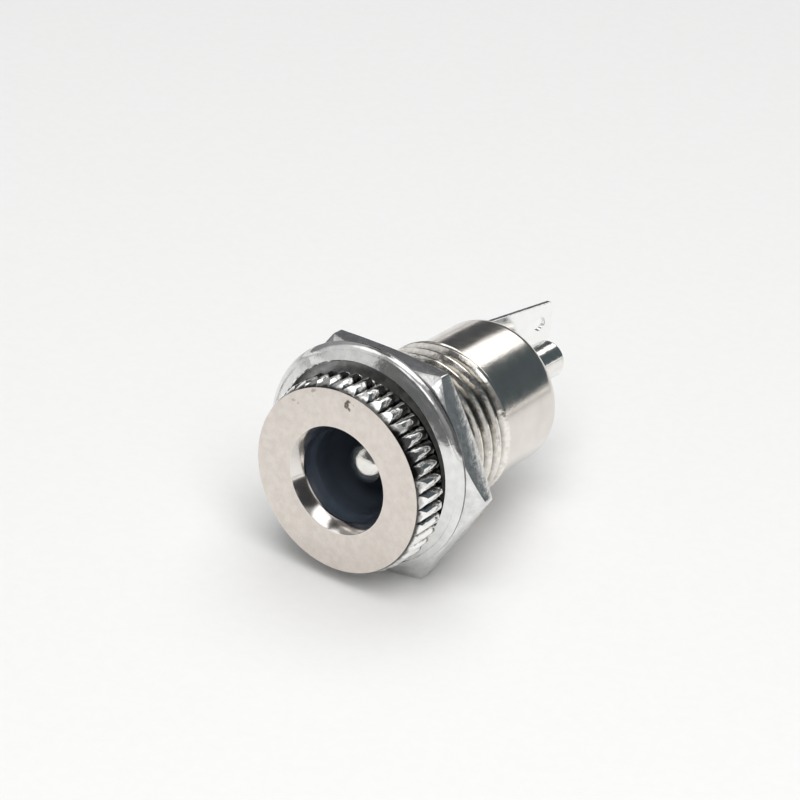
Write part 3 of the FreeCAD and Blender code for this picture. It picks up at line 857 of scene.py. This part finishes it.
def make_nut():
    """The hex nut: a hexagon whose corners are cut by a cone at the front and at the back. Its
    columns stand closer together near the corners."""
    angles = []
    for side in range(6):
        for step in range(NUT_SIDE_STEPS):
            across = math.sin(math.pi * (step / NUT_SIDE_STEPS - 0.5))
            angles.append(side * 60.0 + 30.0 + across * 30.0)
    angles.append(360.0)
    columns = []
    for angle in angles:
        reach = hexagon_radius(angle)
        front = NUT_FRONT_Y + (reach - NUT_FRONT_CIRCLE) * NUT_FRONT_SLOPE
        back = NUT_BACK_Y - (reach - NUT_REAR_CIRCLE) * NUT_REAR_SLOPE
        columns.append(soften((
            (NUT_BORE_RADIUS, NUT_FRONT_Y + NUT_BORE_CHAMFER),
            (NUT_BORE_RADIUS + NUT_BORE_CHAMFER, NUT_FRONT_Y),
            (NUT_FRONT_CIRCLE, NUT_FRONT_Y, EDGE),
            (reach, front, NUT_SIDE_EDGE),
            (reach, back, NUT_SIDE_EDGE),
            (NUT_REAR_CIRCLE, NUT_BACK_Y),
            (NUT_BORE_RADIUS + NUT_BORE_CHAMFER, NUT_BACK_Y),
            (NUT_BORE_RADIUS, NUT_BACK_Y - NUT_BORE_CHAMFER),
        ), FINE_EDGE))
    rows = range(len(columns[0]))
    # The front face gets a lightened copy of the nickel, painted light in the shaded gap behind the
    # washer.
    zones = [PAINTED_SHADING if CORNER_POINTS <= row < 2 * CORNER_POINTS else PLAIN for row in rows]
    nut = skin("panel_nut", columns, angles, True, zones)
    dress(nut, nut_metal(), nut_face_painted_light())
    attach(nut, BODY)
    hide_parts("hex_nut")


def make_pin():
    """The centre pin with its domed end, thicker root and solder tail."""
    low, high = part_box("centre_pin")
    tip, end = low.y / MM, high.y / MM
    turn = math.degrees(2 * math.atan(PIN_DOME / PIN_RADIUS))
    rim = (PIN_RADIUS, tip + PIN_DOME)
    outline = [(0.0, tip), *arc((0.0, tip), rim, turn, ARC_STEPS), rim]
    outline += soften((
        (PIN_RADIUS, PIN_ROOT_Y),
        (PIN_ROOT_RADIUS, PIN_ROOT_Y),
        (PIN_ROOT_RADIUS, PIN_TAIL_Y),
        (PIN_TAIL_RADIUS, PIN_TAIL_Y),
        (PIN_TAIL_RADIUS, end, PIN_TAIL_ROUNDING),
        (0.0, end),
    ), EDGE, steps=PIN_EDGE_STEPS, closed=False)
    pin = lathe("socket_pin", outline, count=PIN_STEPS, closed=False)
    dress(pin, pin_metal())
    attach(pin, BODY)
    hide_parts("centre_pin")


def make_lining():
    """The dark lining of the socket, with the slot for the spring leaf."""
    funnel_front, funnel_back = LINING_FUNNEL_Y
    lining = lathe("socket_lining", soften((
        (LIP_RADIUS, LIP_BACK_Y),
        (BORE_RADIUS, LIP_BACK_Y),
        (BORE_RADIUS, LINING_BACK_Y),
        (LINING_HOLE_RADIUS, LINING_BACK_Y),
        (LINING_HOLE_RADIUS, PIN_ROOT_Y),
        (LINING_RADIUS, PIN_ROOT_Y, LINING_FLOOR_EDGE),
        (LINING_RADIUS, funnel_back, LINING_FUNNEL_EDGE),
        (LIP_RADIUS, funnel_front, LINING_FUNNEL_EDGE),
    ), FINE_EDGE), count=LINING_STEPS)
    cut_slot(lining, SLOT_X, SLOT_Y, SLOT_Z)
    dress(lining, lining_plastic())
    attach(lining, BODY)
    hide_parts("front_insulator")


def make_contact():
    """The folded sleeve contact, with softened edges."""
    contact = bevelled_copy("sleeve_contact", "contact_sheet", FINE_EDGE)
    dress(contact, contact_metal())
    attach(contact, BODY)
    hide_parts("sleeve_contact")


def dress_rear_insulator():
    """The rear insulator keeps its CAD shape, which is right, and gets moulded plastic."""
    surface = plug_plastic()
    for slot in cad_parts["rear_insulator"].material_slots:
        slot.material = surface.material


# Surroundings

def direction(azimuth, elevation):
    """A direction from the object: azimuth 0 is towards -Y and 90 towards +X."""
    around, up = math.radians(azimuth), math.radians(elevation)
    return Vector((math.sin(around) * math.cos(up), -math.cos(around) * math.cos(up), math.sin(up)))


def room_colour(nodes):
    """The room above the white floor, with its light and dark patches."""
    way = nodes.add("ShaderNodeTexCoord").outputs["Generated"]
    height = nodes.add("ShaderNodeSeparateXYZ", (("Vector", way),)).outputs["Z"]
    sky = nodes.add("ShaderNodeValToRGB", ((0, height),))
    stops = sky.color_ramp.elements
    for stop, position, colour in zip(stops, HORIZON, (FLOOR_COLOUR, WALL_COLOUR)):
        stop.position = position
        stop.color = colour
    for position, grey in ROOM_GREYS:
        stops.new(position).color = (grey, grey, grey, 1.0)
    room = sky.outputs["Color"]
    above_floor = nodes.span(height, 0.0, 1.0, *HORIZON, kind="SMOOTHSTEP")
    for azimuth, elevation, inner, outer, colour in PATCHES:
        towards = nodes.add(
            "ShaderNodeVectorMath", ((0, way), (1, direction(azimuth, elevation))),
            operation="DOT_PRODUCT",
        )
        fade = [math.cos(math.radians(angle)) for angle in (outer, inner)]
        amount = nodes.span(towards.outputs["Value"], 0.0, 1.0, *fade, kind="SMOOTHSTEP")
        if elevation > LOW_PATCH:
            amount = nodes.math("MULTIPLY", amount, above_floor)
        room = nodes.blend(amount, room, (*colour, 1.0))
    return room


def make_world():
    """White behind everything for the camera. Metal and glass see a white sweep below and a
    dimmer room above, and everything else gets soft even light."""
    world = bpy.data.worlds.new("studio")
    bpy.context.scene.world = world
    world.use_nodes = True
    nodes = Nodes(world.node_tree)
    room = room_colour(nodes)
    soft = nodes.blend(nodes.shiny_ray(), (AMBIENT, AMBIENT, AMBIENT, 1.0), room)
    seen = nodes.blend(nodes.camera_ray(), soft, (1.0, 1.0, 1.0, 1.0))
    nodes.put(world.node_tree.nodes["Background"].inputs["Color"], seen)


def make_softbox(name, azimuth, elevation, size, power, colour):
    """A square lamp that faces the object from a direction."""
    data = bpy.data.lights.new(name, "AREA")
    data.size = size * MM
    data.energy = power
    data.color = colour
    way = direction(azimuth, elevation)
    lamp = place(name, data)
    lamp.location = way * SOFTBOX_DISTANCE * MM
    lamp.rotation_mode = "QUATERNION"
    lamp.rotation_quaternion = way.to_track_quat("Z", "Y")
    lamp.visible_glossy = False


def make_floor():
    """A plain pale floor under the nut's lowest flat."""
    half = FLOOR_SIZE / 2 * MM
    corners = ((-half, -half), (half, -half), (half, half), (-half, half))
    mesh = bpy.data.meshes.new("floor")
    mesh.from_pydata([(x, y, FLOOR_Z * MM) for x, y in corners], [], [(0, 1, 2, 3)])
    mesh.materials.append(floor_paper().material)
    floor = place("floor", mesh)


def make_camera():
    """The camera, where the photograph was taken from."""
    data = bpy.data.cameras.new("camera")
    data.lens = CAMERA_LENS
    data.sensor_width = CAMERA_SENSOR
    camera = place("camera", data)
    back = Vector(CAMERA_BACK).normalized()
    up = Vector(CAMERA_UP)
    up = (up - back * up.dot(back)).normalized()
    right = up.cross(back)
    matrix = Matrix((right, up, back)).transposed().to_4x4()
    matrix.translation = Vector(CAMERA_PLACE) * MM
    camera.matrix_world = matrix
    bpy.context.scene.camera = camera


make_camera()
make_shell()
make_washer()
make_nut()
make_pin()
make_lining()
make_contact()
dress_rear_insulator()
make_floor()
make_world()
make_softbox(
    "key_softbox", azimuth=40.0, elevation=60.0, size=340.0, power=1.52, colour=(1.0, 0.99, 0.975)
)
make_softbox(
    "fill_softbox", azimuth=200.0, elevation=66.0, size=300.0, power=0.58, colour=(0.98, 0.99, 1.0)
)
bpy.context.scene.view_settings.view_transform = "Standard"
